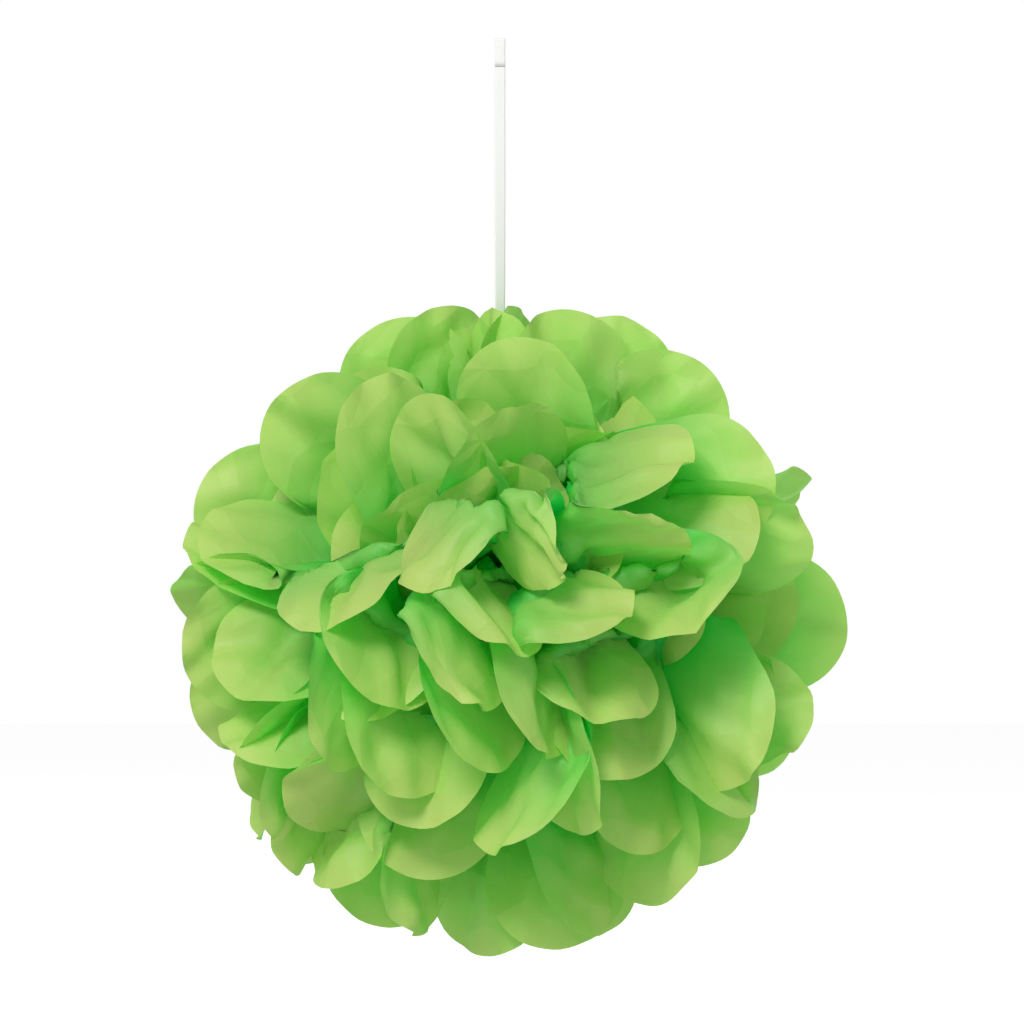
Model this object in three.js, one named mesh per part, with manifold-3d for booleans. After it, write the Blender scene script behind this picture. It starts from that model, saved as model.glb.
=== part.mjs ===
// Tissue paper pom pom on a hanging ribbon.
// Ten sheets are fan-folded together into one strip, their ends are cut round, and a wire
// pinches the strip's middle. Each half opens as a fan, and its sheets are pulled apart,
// half of them to the front and half to the back, until their round ends fill a ball.
// Millimetres, +Z up, front towards -Y. The origin is on the front of the ribbon's tab.

import * as THREE from 'three';
import Module from 'manifold-3d';
import { mergeVertices } from 'three/addons/utils/BufferGeometryUtils.js';

// Sheets, as cut and folded
const SHEET_COUNT = 10;
const SHEET_WIDTH = 762;
const SHEET_LENGTH = 508;
const PANELS = 9;
const PANEL_WIDTH = SHEET_WIDTH / PANELS;
const HALF_LENGTH = SHEET_LENGTH / 2;
const NOTCH_STATION = HALF_LENGTH - PANEL_WIDTH / 2;
const SHEET_THICKNESS = 1.2;
const ROUND_END_SEGMENTS = 8;

// The pinched waist, where every sheet is a flat band
const WAIST_DROP = 310;
const WAIST_HALF_LENGTH = 6;
const WAIST_HEIGHT = 14;
const WAIST_ROUNDING = 1.6;
const LAYER_GAP = 0.3;
const LAYER_PITCH = SHEET_THICKNESS + LAYER_GAP;
const STACK_DEPTH = SHEET_COUNT * LAYER_PITCH - LAYER_GAP;
const FIT_GAP = 0.3;
const BAND_CORNER = 2;

// The opened fans
const TURN_LENGTH = 20;
const STEEPEST_SHEET = THREE.MathUtils.degToRad(62);
const PLEAT_START = 20;
const PLEAT_OPENING = 0.5;
const FLUFF_ANGLE = THREE.MathUtils.degToRad(6);
const CURL_ANGLE = THREE.MathUtils.degToRad(38);
const BELLY_ANGLE = THREE.MathUtils.degToRad(24);
const SLIT_CLOSING = 12;
const STATIONS = [6, 15, 28, 50, 85, 130, 172, NOTCH_STATION];
const PATH_STEPS = 24;

// How far the ball reaches from its waist, once the paper has settled
const FREE_REACH = 244;
const REACH = { up: 164, down: 238, side: 209, front: 201 };
const SETTLE_START = 60;

// Wire tie
const WIRE_RADIUS = 0.6;
const WIRE_X = -4.5;
const WIRE_SIDES = 8;
const PIGTAIL_LENGTH = 16;
const PIGTAIL_TURNS = 3;
const PIGTAIL_STEPS = 8 * PIGTAIL_TURNS;

// Ribbon
const RIBBON_WIDTH = 6.4;
const RIBBON_THICKNESS = 0.5;
const TAB_LENGTH = 17;
const TAB_GAP = 0.4;
const KNOT_SIZE = new THREE.Vector3(9, 6, 7);

const PAPER = { color: 0x8cc63f, roughness: 0.85, metalness: 0 };
const WIRE = { color: 0x9a9c98, roughness: 0.4, metalness: 1 };
const SATIN = { color: 0xf4f4f1, roughness: 0.45, metalness: 0 };

const { lerp, smoothstep } = THREE.MathUtils;
const wasm = await Module();
wasm.setup();

const part = new THREE.Group();

function addPiece(name, geometry, finish) {
  const piece = new THREE.Mesh(geometry, new THREE.MeshStandardMaterial(finish));
  piece.name = name;
  part.add(piece);
}

// Booleans

function solidOf(geometry) {
  const bare = geometry.clone();
  bare.deleteAttribute('normal');
  bare.deleteAttribute('uv');
  const merged = mergeVertices(bare, 1e-4);
  return new wasm.Manifold(new wasm.Mesh({
    numProp: 3,
    vertProperties: new Float32Array(merged.attributes.position.array),
    triVerts: new Uint32Array(merged.index.array),
  }));
}

function geometryOf(solid) {
  const mesh = solid.getMesh();
  const geometry = new THREE.BufferGeometry();
  geometry.setAttribute('position', new THREE.BufferAttribute(mesh.vertProperties, 3));
  geometry.setIndex(new THREE.BufferAttribute(mesh.triVerts, 1));
  geometry.computeVertexNormals();
  return geometry;
}

// One flat sheet, cut to its round ends: points across the folds (in panels) and along
// them (mm from the waist), with its triangles and its outline

function roundEnd(panel, side) {
  const points = [];
  for (let step = 1; step < ROUND_END_SEGMENTS; step += 1) {
    const angle = Math.PI * step / ROUND_END_SEGMENTS;
    const across = panel + 0.5 - 0.5 * Math.cos(angle);
    const along = NOTCH_STATION + (PANEL_WIDTH / 2) * Math.sin(angle);
    points.push({ across, along: side * along });
  }
  return points;
}

function flatSheet() {
  const rows = [...STATIONS.map((s) => -s).reverse(), ...STATIONS];
  const points = [];
  const triangles = [];
  for (const along of rows) {
    for (let fold = 0; fold <= PANELS; fold += 1) {
      points.push({ across: fold, along });
    }
  }
  const at = (row, fold) => row * (PANELS + 1) + fold;
  for (let row = 0; row < rows.length - 1; row += 1) {
    for (let panel = 0; panel < PANELS; panel += 1) {
      const [a, b] = [at(row, panel), at(row, panel + 1)];
      const [c, d] = [at(row + 1, panel), at(row + 1, panel + 1)];
      triangles.push([a, b, d], [a, d, c]);
    }
  }
  const outline = [];
  const lastRow = rows.length - 1;
  for (let panel = 0; panel < PANELS; panel += 1) {
    outline.push(at(0, panel), ...addRoundEnd(points, triangles, panel, -1, at(0, panel)));
  }
  for (let row = 0; row < lastRow; row += 1) outline.push(at(row, PANELS));
  for (let panel = PANELS - 1; panel >= 0; panel -= 1) {
    const end = addRoundEnd(points, triangles, panel, 1, at(lastRow, panel));
    outline.push(at(lastRow, panel + 1), ...end.reverse());
  }
  for (let row = lastRow; row > 0; row -= 1) outline.push(at(row, 0));
  return { points, triangles, outline };
}

function addRoundEnd(points, triangles, panel, side, corner) {
  const first = points.length;
  points.push(...roundEnd(panel, side));
  const arc = [];
  for (let index = first; index < points.length; index += 1) arc.push(index);
  const fan = [corner, ...arc, corner + 1];
  for (let step = 1; step < fan.length - 1; step += 1) {
    const triangle = [fan[0], fan[step], fan[step + 1]];
    triangles.push(side < 0 ? triangle : triangle.reverse());
  }
  return arc;
}

// Fluffing: a repeatable small turn of each fold, different on every sheet and side

function fluffAt(sheet, fold, side) {
  const wave = Math.sin(12.9898 * fold + 78.233 * sheet + 37.719 * side) * 43758.5453;
  return 2 * (wave - Math.floor(wave)) - 1;
}

function fluff(sheet, across, side) {
  const fold = Math.min(Math.floor(across), PANELS - 1);
  return FLUFF_ANGLE * lerp(fluffAt(sheet, fold, side), fluffAt(sheet, fold + 1, side), across - fold);
}

// Where a point of a flat sheet lies once the sheet is folded, tied and opened.
// Azimuth turns in the fan's own plane, elevation towards the front.

function direction(azimuth, elevation) {
  return new THREE.Vector3(
    Math.cos(elevation) * Math.cos(azimuth),
    -Math.sin(elevation),
    Math.cos(elevation) * Math.sin(azimuth),
  );
}

function towardsFront(azimuth, elevation) {
  return new THREE.Vector3(
    -Math.sin(elevation) * Math.cos(azimuth),
    -Math.cos(elevation),
    -Math.sin(elevation) * Math.sin(azimuth),
  );
}

function sheetElevation(sheet) {
  return Math.asin(Math.sin(STEEPEST_SHEET) * (1 - 2 * sheet / (SHEET_COUNT - 1)));
}

function waistPlace(sheet, across) {
  const depth = (sheet - (SHEET_COUNT - 1) / 2) * LAYER_PITCH;
  const height = WAIST_HEIGHT * Math.sqrt(1 - (WAIST_ROUNDING * depth / STACK_DEPTH) ** 2);
  return new THREE.Vector3(WAIST_HALF_LENGTH, depth, (across / PANELS - 0.5) * height);
}

function pleatSide(across) {
  return 1 - 2 * Math.abs(across % 2 - 1);
}

function pleatDepth(distance, elevation) {
  const chord = 2 * distance * Math.cos(elevation) * Math.sin(Math.PI / PANELS / 2);
  const folded = Math.sqrt(Math.max(PANEL_WIDTH ** 2 - chord ** 2, 0));
  const opened = PLEAT_OPENING * Math.max(distance - PLEAT_START, 0);
  return Math.min(opened, folded);
}

function settle(value, reach) {
  const loss = (1 - reach / FREE_REACH) * (FREE_REACH + SETTLE_START) / FREE_REACH;
  return value * (1 - loss * Math.abs(value) / (Math.abs(value) + SETTLE_START));
}

function foldedPoint(sheet, { across, along }, layer) {
  const side = Math.sign(along);
  const distance = Math.abs(along);
  const rest = sheetElevation(sheet) + fluff(sheet, across, side);
  const lean = rest / STEEPEST_SHEET;
  const azimuthAt = (s) => {
    const turned = smoothstep(s, WAIST_HALF_LENGTH, WAIST_HALF_LENGTH + TURN_LENGTH);
    return turned * Math.PI * (across / PANELS - 0.5);
  };
  const elevationAt = (s) => {
    const turned = smoothstep(s, WAIST_HALF_LENGTH, WAIST_HALF_LENGTH + TURN_LENGTH);
    const reached = s / HALF_LENGTH;
    const curl = CURL_ANGLE * reached ** 3 - BELLY_ANGLE * Math.sin(Math.PI * reached);
    return turned * (rest - lean * curl);
  };
  const place = waistPlace(sheet, across);
  const step = (distance - WAIST_HALF_LENGTH) / PATH_STEPS;
  for (let index = 0; index < PATH_STEPS; index += 1) {
    const s = WAIST_HALF_LENGTH + (index + 0.5) * step;
    place.addScaledVector(direction(azimuthAt(s), elevationAt(s)), step);
  }
  place.x -= SLIT_CLOSING * smoothstep(distance, WAIST_HALF_LENGTH + TURN_LENGTH, HALF_LENGTH);
  const offset = pleatSide(across) * pleatDepth(distance, rest) / 2 + layer * SHEET_THICKNESS / 2;
  place.addScaledVector(towardsFront(azimuthAt(distance), elevationAt(distance)), offset);
  return new THREE.Vector3(
    side * settle(place.x, REACH.side),
    settle(place.y, REACH.front),
    settle(place.z, place.z > 0 ? REACH.up : REACH.down) - WAIST_DROP,
  );
}

function foldedSheet(sheet, flat) {
  const positions = [];
  for (const layer of [1, -1]) {
    for (const point of flat.points) {
      positions.push(...foldedPoint(sheet, point, layer).toArray());
    }
  }
  const back = flat.points.length;
  const faces = [];
  for (const [a, b, c] of flat.triangles) {
    faces.push(c, b, a, back + a, back + b, back + c);
  }
  flat.outline.forEach((a, index) => {
    const b = flat.outline[(index + 1) % flat.outline.length];
    faces.push(a, b, back + b, a, back + b, back + a);
  });
  const geometry = new THREE.BufferGeometry();
  geometry.setAttribute('position', new THREE.Float32BufferAttribute(positions, 3));
  geometry.setIndex(faces);
  geometry.computeVertexNormals();
  return geometry;
}

// Bands round the waist: profiles drawn in the plane across the strip, extruded along it

function turnAcrossStrip(geometry) {
  const [profileX, profileY, depth] = [[0, 1, 0], [0, 0, 1], [1, 0, 0]];
  geometry.applyMatrix4(new THREE.Matrix4().makeBasis(
    new THREE.Vector3(...profileX),
    new THREE.Vector3(...profileY),
    new THREE.Vector3(...depth),
  ));
}

function waistLoop(clearance, cornerRadius) {
  const halfDepth = STACK_DEPTH / 2 + clearance;
  const halfHeight = WAIST_HEIGHT / 2 + clearance;
  const shape = new THREE.Shape();
  const [cornerY, cornerZ] = [halfDepth - cornerRadius, halfHeight - cornerRadius];
  [[1, -1], [1, 1], [-1, 1], [-1, -1]].forEach(([ySide, zSide], corner) => {
    const start = (corner - 1) * Math.PI / 2;
    shape.absarc(ySide * cornerY, zSide * cornerZ, cornerRadius, start, start + Math.PI / 2);
  });
  return shape;
}

function bandRound(x, width, thickness) {
  const band = waistLoop(FIT_GAP + thickness, BAND_CORNER + thickness);
  band.holes.push(waistLoop(FIT_GAP, BAND_CORNER));
  const geometry = new THREE.ExtrudeGeometry(band, {
    depth: width, bevelEnabled: false, curveSegments: 3,
  });
  turnAcrossStrip(geometry);
  geometry.translate(x - width / 2, 0, -WAIST_DROP);
  return geometry;
}

// Wire tie: one turn round the waist, its ends twisted together below

class TwistedEnd extends THREE.Curve {
  constructor(top, phase) {
    super();
    this.top = top;
    this.phase = phase;
  }

  getPoint(t) {
    const angle = this.phase + t * PIGTAIL_TURNS * 2 * Math.PI;
    return new THREE.Vector3(
      WIRE_X + WIRE_RADIUS * Math.cos(angle),
      WIRE_RADIUS * Math.sin(angle),
      this.top - t * PIGTAIL_LENGTH,
    );
  }
}

function wireSection() {
  const section = new THREE.Shape();
  section.absarc(0, 0, WIRE_RADIUS, 0, 2 * Math.PI);
  return section;
}

function wireTie() {
  const turn = bandRound(WIRE_X, 2 * WIRE_RADIUS, 2 * WIRE_RADIUS);
  const top = -WAIST_DROP - WAIST_HEIGHT / 2 - FIT_GAP - WIRE_RADIUS;
  let solid = solidOf(turn);
  for (const phase of [0, Math.PI]) {
    const end = new THREE.ExtrudeGeometry(wireSection(), {
      steps: PIGTAIL_STEPS,
      curveSegments: WIRE_SIDES / 2,
      extrudePath: new TwistedEnd(top, phase),
    });
    solid = solid.add(solidOf(end));
  }
  return geometryOf(solid);
}

// Ribbon: a tab folded over at the top, the hanging run, and a tied turn round the waist

function ribbonProfile() {
  const runFront = RIBBON_THICKNESS + TAB_GAP;
  const foldRadius = (RIBBON_THICKNESS * 2 + TAB_GAP) / 2;
  const tabTop = TAB_LENGTH / 2 - foldRadius;
  const waistTop = -WAIST_DROP + WAIST_HEIGHT / 2 + KNOT_SIZE.z / 2;
  const profile = new THREE.Shape();
  profile.moveTo(0, -TAB_LENGTH / 2);
  profile.lineTo(RIBBON_THICKNESS, -TAB_LENGTH / 2);
  profile.lineTo(RIBBON_THICKNESS, tabTop);
  profile.absarc(foldRadius, tabTop, TAB_GAP / 2, Math.PI, 0, true);
  profile.lineTo(runFront, -TAB_LENGTH / 2);
  profile.lineTo(-RIBBON_THICKNESS / 2, waistTop);
  profile.lineTo(RIBBON_THICKNESS / 2, waistTop);
  profile.lineTo(runFront + RIBBON_THICKNESS, -TAB_LENGTH / 2);
  profile.lineTo(runFront + RIBBON_THICKNESS, tabTop);
  profile.absarc(foldRadius, tabTop, foldRadius, 0, Math.PI, false);
  profile.lineTo(0, -TAB_LENGTH / 2);
  return profile;
}

function ribbon() {
  const run = new THREE.ExtrudeGeometry(ribbonProfile(), {
    depth: RIBBON_WIDTH, bevelEnabled: false, curveSegments: 6,
  });
  turnAcrossStrip(run);
  run.translate(-RIBBON_WIDTH / 2, 0, 0);
  const turn = bandRound(0, RIBBON_WIDTH, RIBBON_THICKNESS);
  const knot = new THREE.SphereGeometry(0.5, 12, 8);
  knot.scale(KNOT_SIZE.x, KNOT_SIZE.y, KNOT_SIZE.z);
  const knotZ = -WAIST_DROP + WAIST_HEIGHT / 2 + FIT_GAP + KNOT_SIZE.z / 2;
  knot.translate(0, 0, knotZ);
  return geometryOf(solidOf(run).add(solidOf(turn)).add(solidOf(knot)));
}

const flat = flatSheet();
for (let sheet = 0; sheet < SHEET_COUNT; sheet += 1) {
  const number = String(sheet + 1).padStart(2, '0');
  addPiece(`sheet_${number}`, foldedSheet(sheet, flat), PAPER);
}
addPiece('wire_tie', wireTie(), WIRE);
addPiece('ribbon', ribbon(), SATIN);

export default part;
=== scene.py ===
"""Tissue paper pom pom on a white satin ribbon.

Ten tissue sheets are fan-folded as one strip, cut round at both ends, pinched in the middle by a
wire and pulled open into a ball. Each sheet is one mesh. A panel is the stretch between two of its
folds, a half is what lies on one side of the waist, and a petal is a panel's round end. Petals read
from the photograph go to the front sheets and the others are spread evenly. A small cloth-like
relaxation then settles the paper, roughly at its flat lengths. Its layers still pass through each
other in places, most of them near the waist.
Lengths are in millimetres until a mesh is made, in the frame's axes: +Z up, front towards -Y.
"""

import math

import bpy
import numpy as np
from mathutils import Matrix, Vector


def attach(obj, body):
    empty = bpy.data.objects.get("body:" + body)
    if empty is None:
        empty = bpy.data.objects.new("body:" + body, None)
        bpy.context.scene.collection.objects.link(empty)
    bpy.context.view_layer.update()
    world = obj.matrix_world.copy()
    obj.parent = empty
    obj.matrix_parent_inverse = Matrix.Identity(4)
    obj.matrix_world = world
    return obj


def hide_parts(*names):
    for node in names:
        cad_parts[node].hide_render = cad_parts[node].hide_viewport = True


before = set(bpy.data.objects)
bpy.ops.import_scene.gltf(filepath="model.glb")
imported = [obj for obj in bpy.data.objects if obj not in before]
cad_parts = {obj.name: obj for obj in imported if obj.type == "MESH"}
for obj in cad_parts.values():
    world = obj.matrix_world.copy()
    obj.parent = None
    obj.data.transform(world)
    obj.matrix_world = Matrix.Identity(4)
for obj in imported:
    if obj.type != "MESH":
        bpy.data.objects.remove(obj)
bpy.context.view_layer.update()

MM = 0.001
rng = np.random.default_rng(7)

# Sheets, as cut and folded
SHEET_COUNT = 10
SHEET_WIDTH = 762.0
SHEET_LENGTH = 508.0
PANELS = 9
PANEL_WIDTH = SHEET_WIDTH / PANELS
END_RADIUS = PANEL_WIDTH / 2
HALF_LENGTH = SHEET_LENGTH / 2
NOTCH = HALF_LENGTH - END_RADIUS

# The waist and the ball
CORE = np.array([0.0, 0.0, -310.0])
WAIST_HALF_LENGTH = 6.0
WAIST_HEIGHT = 13.0
LAYER_PITCH = 1.5
BALL_CENTRE = np.array([3.0, 0.0, -347.0])
BALL_RADII = np.array([205.0, 201.0, 197.0])
OUTERMOST_SINE = 0.97

# The grid that the relaxation works on, and the finer one of the finished mesh
ROWS = 25
COLUMNS = 9
FINE_ROWS = 53
FINE_COLUMNS = 25
EDGE_CROWDING = 1.25

# The photograph, in its 1024 pixel frame
PHOTO_SIDE = 1024
PHOTO_SCALE = 0.6
PHOTO_ORIGIN = (500.0, 52.2)
CAMERA_DISTANCE = 2200.0
VIEW_X = (PHOTO_SIDE / 2 - PHOTO_ORIGIN[0]) * PHOTO_SCALE
VIEW_Z = -(PHOTO_SIDE / 2 - PHOTO_ORIGIN[1]) * PHOTO_SCALE

# A petal's last stretch, which is shaped before the rest
PETAL_LENGTH = 85.0

# Evenly spread petals, in degrees, but cup and curl in radians and reach as a share of the ball's
# radius. Every other one is tilted and rolled the other way, as pleats are
DIRECTION_DISORDER = 5
PLEAT_TILT = 4
TIP_REACH = (0.9, 1.0)
PITCH_SHARE = 0.4
PITCH_DISORDER = 12
PLEAT_ROLL = 32
ROLL_DISORDER = 15
CUP_DISORDER = 1.0
CURL = 0.9
CURL_DISORDER = 0.3
LOOSE_HOLD = 0.03

# Photographed petals: how their turn follows from how wide they look
PARTLY_HIDDEN = 1.25
LEAN_SHARE = 0.3
ROLL_SHARE = 0.9
PHOTO_CUP = (-0.5, 0.3)
CURL_AT_RIM = 0.3
CURL_IN_FRONT = 0.75
FIRM_HOLD = 0.7
LONGEST_REACH = 1.05
DEPTH_STEP = 2

# Where the petals go among the sheets, and how far in those lie that the photograph doesn't show
FRONT_SHEETS = range(0, 6)
FRONTMOST_SHEETS = range(0, 4)
TIP_SHARE = 0.3
UNSEEN_REACH_FRONTMOST = 0.78
UNSEEN_REACH = 0.93

# The hidden paper between the waist and a petal, before it is relaxed
STRAIGHTER = 0.6
ARRIVING = 0.4
BULGE_PHOTO = 0.35
BULGE_LOOSE = 0.7

# The relaxation: at the waist the paper is gathered to a share of its width. Layers that are close
# are pushed apart, from PUSHED_FROM on along the paper, and a fold between petals that lie far
# apart is slit further in than its notch
ROUNDS = 150
LENGTH_PASSES = 2
PAIR_ROUNDS = 6
GATHER_LENGTH = 85.0
GATHERED_SHARE = 0.12
SLANT_STIFFNESS = 0.4
SMOOTH_FIRST = 0.12
SMOOTH_LAST = 0.03
HOLD_LOSS = 0.4
PUSH = 0.7
BALL_PUSH = 0.5
PUSHED_FROM = 60
SAME_LAYER = 30
GAP_GROWTH = 4.1e-4
NARROWEST_GAP = 0.5
WIDEST_GAP = 9.0
CLOSE_PETALS = 25.0
SLIT_PER_GAP = 2.0
DEEPEST_SLIT = 90.0

# Creases pressed into each panel: their places as shares of its half width and its length, their
# spread of angles in radians, and the stretch along the paper over which they set in
CREASES = 9
CREASE_HALF_WIDTH = 12.0
CREASE_HEIGHT = (1.5, 5.0)
CREASE_ACROSS = 0.8
CREASE_ALONG = (0.5, 1.0)
CREASE_ANGLE = 0.55
CREASED_FROM = (60, 120)

# The ribbon, folded over into a tab at the mount. At its knot it is turned by RIBBON_TURN, and on
# its way up it turns to face the front and drifts back. Y values are for the middle of its thickness
RIBBON_WIDTH = 6.4
RIBBON_THICKNESS = 0.3
EDGE_THICKNESS_SHARE = 0.4
STRIP_COLUMNS = 9
HANGING_POINTS = 30
DRIFT_FROM = -60
DRIFT = 0.7
RIBBON_TURN = math.radians(50)
UNTURNED_FROM = -40
TAB_HALF = 8.5
TAB_BACK_START = 4
TAB_BACK_POINTS = 5
TAB_BACK_Y = 1.1
TAB_FRONT_POINTS = 6
TAB_FRONT_Y = 0.2
FOLD_Y = 0.65
FOLD_RADIUS = 0.45
FOLD_HEIGHT = 0.75
FOLD_ROOM = 1.5
FOLD_POINTS = 7

# Its knot on top of the waist, and its turn round the waist
KNOT_Z = CORE[2] + 11.0
KNOT_HALF_WIDTH = 3.8
KNOT_HALF_DEPTH = 2.9
KNOT_ANGLE = 2.3 * math.pi
KNOT_POINTS = 40
KNOT_GROWTH = 0.03
KNOT_SLANT = 0.5
TURN_HALF_DEPTH = 7.6
TURN_HALF_HEIGHT = 7.4
TURN_CORNER = 1.5
CORNER_POINTS = 5

# Tissue: its colours by reflected light and by light from behind. Along the paper they change from
# painted shade colours, darker and more saturated, held up to the first of the two distances below,
# in metres from the waist, to the pale ones at the second, just past the paper's end. The paint stands
# in for the shade of the crowded paper near the waist. THROUGH_SHARE of its light comes from behind
TISSUE_FRONT = (0.88, 0.88, 0.28, 1)
TISSUE_FRONT_PAINTED_SHADE = (0.005, 0.7, 0.09, 1)
TISSUE_THROUGH = (0.13, 0.94, 0.09, 1)
TISSUE_THROUGH_PAINTED_SHADE = (0.002, 0.88, 0.12, 1)
PAINTED_SHADE_END = 0.135
PAINTED_SHADE_FADED_AT = 0.262
THROUGH_SHARE = 0.46

SATIN_WHITE = (0.94, 0.94, 0.92, 1)
STEEL = (0.55, 0.55, 0.54, 1)

# Studio: lamps by name, place, size and watts, and the floor, in metres
LAMPS = (
    ("key", (-0.9, -2.3, 1.5), 1.0, 57),
    ("back", (1.2, 2.4, 1.2), 1.6, 28),
)
SOFT_LIGHT = 0.33
WHITE = (1, 1, 1, 1)
FLOOR_HALF = 6.0
FLOOR_Z = -0.75
FLOOR_GREY = (0.8, 0.8, 0.8, 1)
FLOOR_GLOW = 0.7

# Petals read from the photograph: the round end's furthest point, a point back along the petal's
# middle and its width across, all in pixels, then which edge is nearer (1 the edge on the left of
# its direction, -1 the other) and how many millimetres it lies under the ball's surface. For those
# round the core, also the degrees that the end leans out to the viewer and the millimetres from
# its tip to its bend
PETALS = [
    ("top_left_back", (385, 318), (425, 430), 125, 1, 6),
    ("top_left_rear", (445, 302), (455, 400), 90, -1, 4),
    ("ribbon_left", (490, 307), (492, 380), 45, 1, 30),
    ("ribbon_right", (512, 306), (508, 390), 40, -1, 34),
    ("top_right", (563, 309), (570, 400), 105, 1, 0),
    ("top_right_creased", (626, 309), (600, 400), 95, -1, 0),
    ("upper_right", (706, 366), (640, 440), 125, 1, 0),
    ("right_shoulder", (775, 470), (680, 490), 125, -1, 0),
    ("right_edge_on", (812, 474), (755, 515), 25, 1, 0),
    ("right_upper", (813, 540), (720, 545), 85, 1, 0),
    ("far_right", (849, 628), (745, 620), 145, 1, 0),
    ("right_lower_rear", (813, 722), (730, 710), 85, -1, 0),
    ("right_small", (752, 815), (715, 765), 45, -1, 0),
    ("lower_right_rear", (737, 848), (680, 800), 105, 1, 0),
    ("lower_right_low", (662, 905), (640, 830), 85, 1, 0),
    ("bottom_right_rear", (606, 935), (590, 860), 70, -1, 0),
    ("bottom_right", (545, 950), (560, 850), 115, 1, 0),
    ("bottom", (487, 957), (480, 860), 90, -1, 0),
    ("bottom_wedge", (418, 937), (420, 860), 45, 1, 0),
    ("bottom_left", (375, 926), (400, 830), 110, 1, 0),
    ("lower_left_round", (322, 888), (345, 820), 50, -1, 0),
    ("lower_left_tip", (280, 862), (340, 805), 60, 1, 0),
    ("left_lower", (283, 800), (370, 790), 75, 1, 10),
    ("left_spike_low", (267, 840), (290, 790), 14, 1, 0),
    ("left_spike", (250, 835), (285, 780), 16, -1, 0),
    ("left_low_pale", (238, 785), (310, 740), 70, 1, 0),
    ("left_tips", (222, 745), (300, 715), 50, -1, 0),
    ("left_pale", (183, 665), (270, 640), 110, 1, 0),
    ("left_inner", (214, 672), (300, 640), 85, -1, 10),
    ("left_leaf", (170, 597), (280, 592), 45, 1, 0),
    ("left_tip", (184, 538), (260, 565), 35, -1, 0),
    ("upper_left", (200, 485), (300, 530), 125, 1, 0),
    ("upper_left_low", (198, 535), (280, 545), 60, -1, 12),
    ("upper_left_back", (275, 398), (355, 460), 115, 1, 0),
    ("upper_left_inner", (360, 385), (425, 470), 95, -1, 14),
    ("top_inner_left", (420, 395), (450, 470), 70, 1, 20),
    ("top_pale", (514, 337), (522, 420), 105, -1, 22),
    ("top_green", (514, 404), (505, 490), 115, 1, 12, 28, 62),
    ("core_right_leaf", (556, 585), (500, 492), 68, 1, 0, 8, 62),
    ("core_left_leaf", (413, 592), (476, 492), 40, -1, 0, 6, 66),
    ("right_over_core", (692, 443), (590, 465), 58, -1, 8, 12, 72),
    ("right_over_core_low", (690, 535), (590, 545), 60, 1, 6, 15, 64),
    ("right_behind_core", (760, 530), (670, 520), 85, -1, 16),
    ("right_flat", (632, 612), (535, 595), 58, -1, 6, 10, 62),
    ("right_scoop", (680, 633), (674, 590), 147, 1, 8, 42, 60),
    ("right_pale", (640, 718), (590, 650), 95, -1, 18, 20, 62),
    ("right_low_pale", (752, 778), (690, 700), 105, 1, 0),
    ("right_low_scallop", (615, 781), (610, 700), 110, -1, 26),
    ("right_low_leaf", (592, 834), (560, 765), 50, 1, 16),
    ("right_low_end", (645, 855), (635, 770), 85, -1, 26),
    ("low_leaf", (485, 852), (525, 780), 42, 1, 14),
    ("low_middle", (492, 773), (475, 690), 78, 1, 18, 15, 66),
    ("low_middle_nested", (552, 757), (545, 670), 52, -1, 14, 15, 66),
    ("low_middle_leaf", (480, 712), (450, 610), 66, 1, 8, 15, 68),
    ("low_strip", (528, 655), (475, 585), 45, -1, 4, 20, 52),
    ("left_scoop", (330, 626), (335, 580), 125, -1, 4, 42, 60),
    ("left_round", (385, 707), (388, 620), 115, 1, 18, 25, 62),
    ("left_round_under", (355, 726), (375, 640), 110, -1, 30, 25, 62),
    ("left_low_inner", (330, 770), (350, 700), 60, 1, 16),
    ("low_stack_upper", (405, 798), (412, 720), 90, 1, 20),
    ("low_stack_middle", (418, 828), (425, 740), 100, -1, 26),
    ("low_stack_lower", (425, 880), (430, 790), 120, 1, 34),
]

HALVES = [(sheet, side) for sheet in range(SHEET_COUNT) for side in (-1, 1)]
SIDES = np.array([side for _, side in HALVES], float)
ALONG = np.linspace(WAIST_HALF_LENGTH, HALF_LENGTH, ROWS)
ACROSS = np.linspace(-0.5, 0.5, COLUMNS) * PANEL_WIDTH

# The finer columns, from -1 to 1 over a panel and crowded at its edges, and the length of paper
# from the middle of the waist to each point, up to the round cut
CROWDED = np.sin(np.linspace(-EDGE_CROWDING, EDGE_CROWDING, FINE_COLUMNS))
FINE_ACROSS = CROWDED / math.sin(EDGE_CROWDING)
CUT_LENGTH = NOTCH + END_RADIUS * np.sqrt(np.maximum(1 - FINE_ACROSS**2, 0))
ROW_SHARE = np.linspace(0, 1, FINE_ROWS)[:, None]
FINE_ALONG = WAIST_HALF_LENGTH + ROW_SHARE * (CUT_LENGTH - WAIST_HALF_LENGTH)


def unit(vector):
    return vector / np.maximum(np.linalg.norm(vector, axis=-1, keepdims=True), 1e-9)


def smoothstep(value, low, high):
    t = np.clip((value - low) / (high - low), 0, 1)
    return t * t * (3 - 2 * t)


# The photograph's pixels, as places in the frame

def from_photo(pixel, depth):
    """The point at that Y whose picture is that pixel."""
    spread = PHOTO_SCALE * (CAMERA_DISTANCE + depth) / CAMERA_DISTANCE
    half = PHOTO_SIDE / 2
    return np.array([VIEW_X + (pixel[0] - half) * spread, depth, VIEW_Z - (pixel[1] - half) * spread])


def ball_depth(x, z):
    """How far in front the ball's surface is, as a Y value."""
    flat = ((x - BALL_CENTRE[0]) / BALL_RADII[0]) ** 2 + ((z - BALL_CENTRE[2]) / BALL_RADII[2]) ** 2
    return -BALL_RADII[1] * math.sqrt(max(1 - flat, 0))


# Where each petal's round end goes: its tip, the direction it points, how it is turned

def sheet_elevation(sheet):
    """The angle by which a sheet's fan stands out of the XZ plane, positive to the front."""
    return math.asin(OUTERMOST_SINE * (1 - (2 * sheet + 1) / SHEET_COUNT))


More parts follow.
